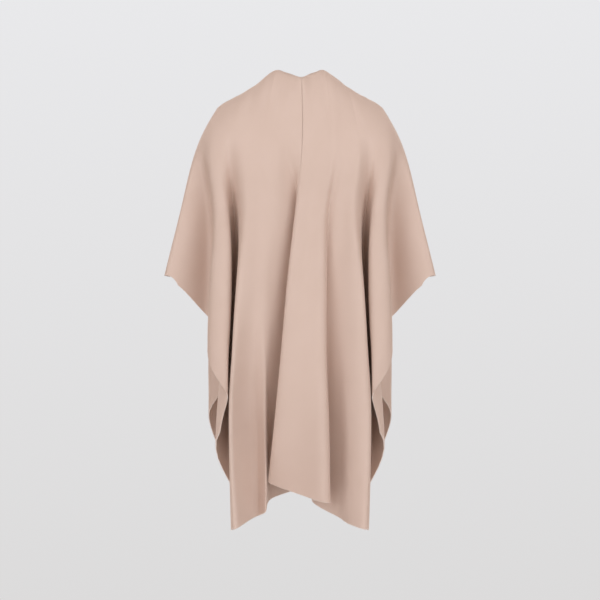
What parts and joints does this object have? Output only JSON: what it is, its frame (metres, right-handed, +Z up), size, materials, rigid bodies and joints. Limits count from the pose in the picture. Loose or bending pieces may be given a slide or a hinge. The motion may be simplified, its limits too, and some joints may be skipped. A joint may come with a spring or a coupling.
{
  "type": "knit poncho",
  "caption": "Open-front knit poncho hanging as if worn: two wide cloth panels joined by a centre back seam, falling in deep soft pleats with open sides, neck and hem.",
  "frame": {"origin": "middle of the shoulder line at the height of the neck point, where a wearer's shoulders hold the cloth", "axes": "+Z up, +Y towards the wearer's front, +X towards the wearer's right; the seamed back faces -Y"},
  "size_m": [0.6382, 0.3536, 1.0827],
  "materials": {
    "knit_left": "matt fulled knit, fine face",
    "knit_right": "matt fulled knit, fine face"
  },
  "bodies": {
    "root": {"panel_left": "knit_left", "panel_right": "knit_right"}
  },
  "joints": []
}
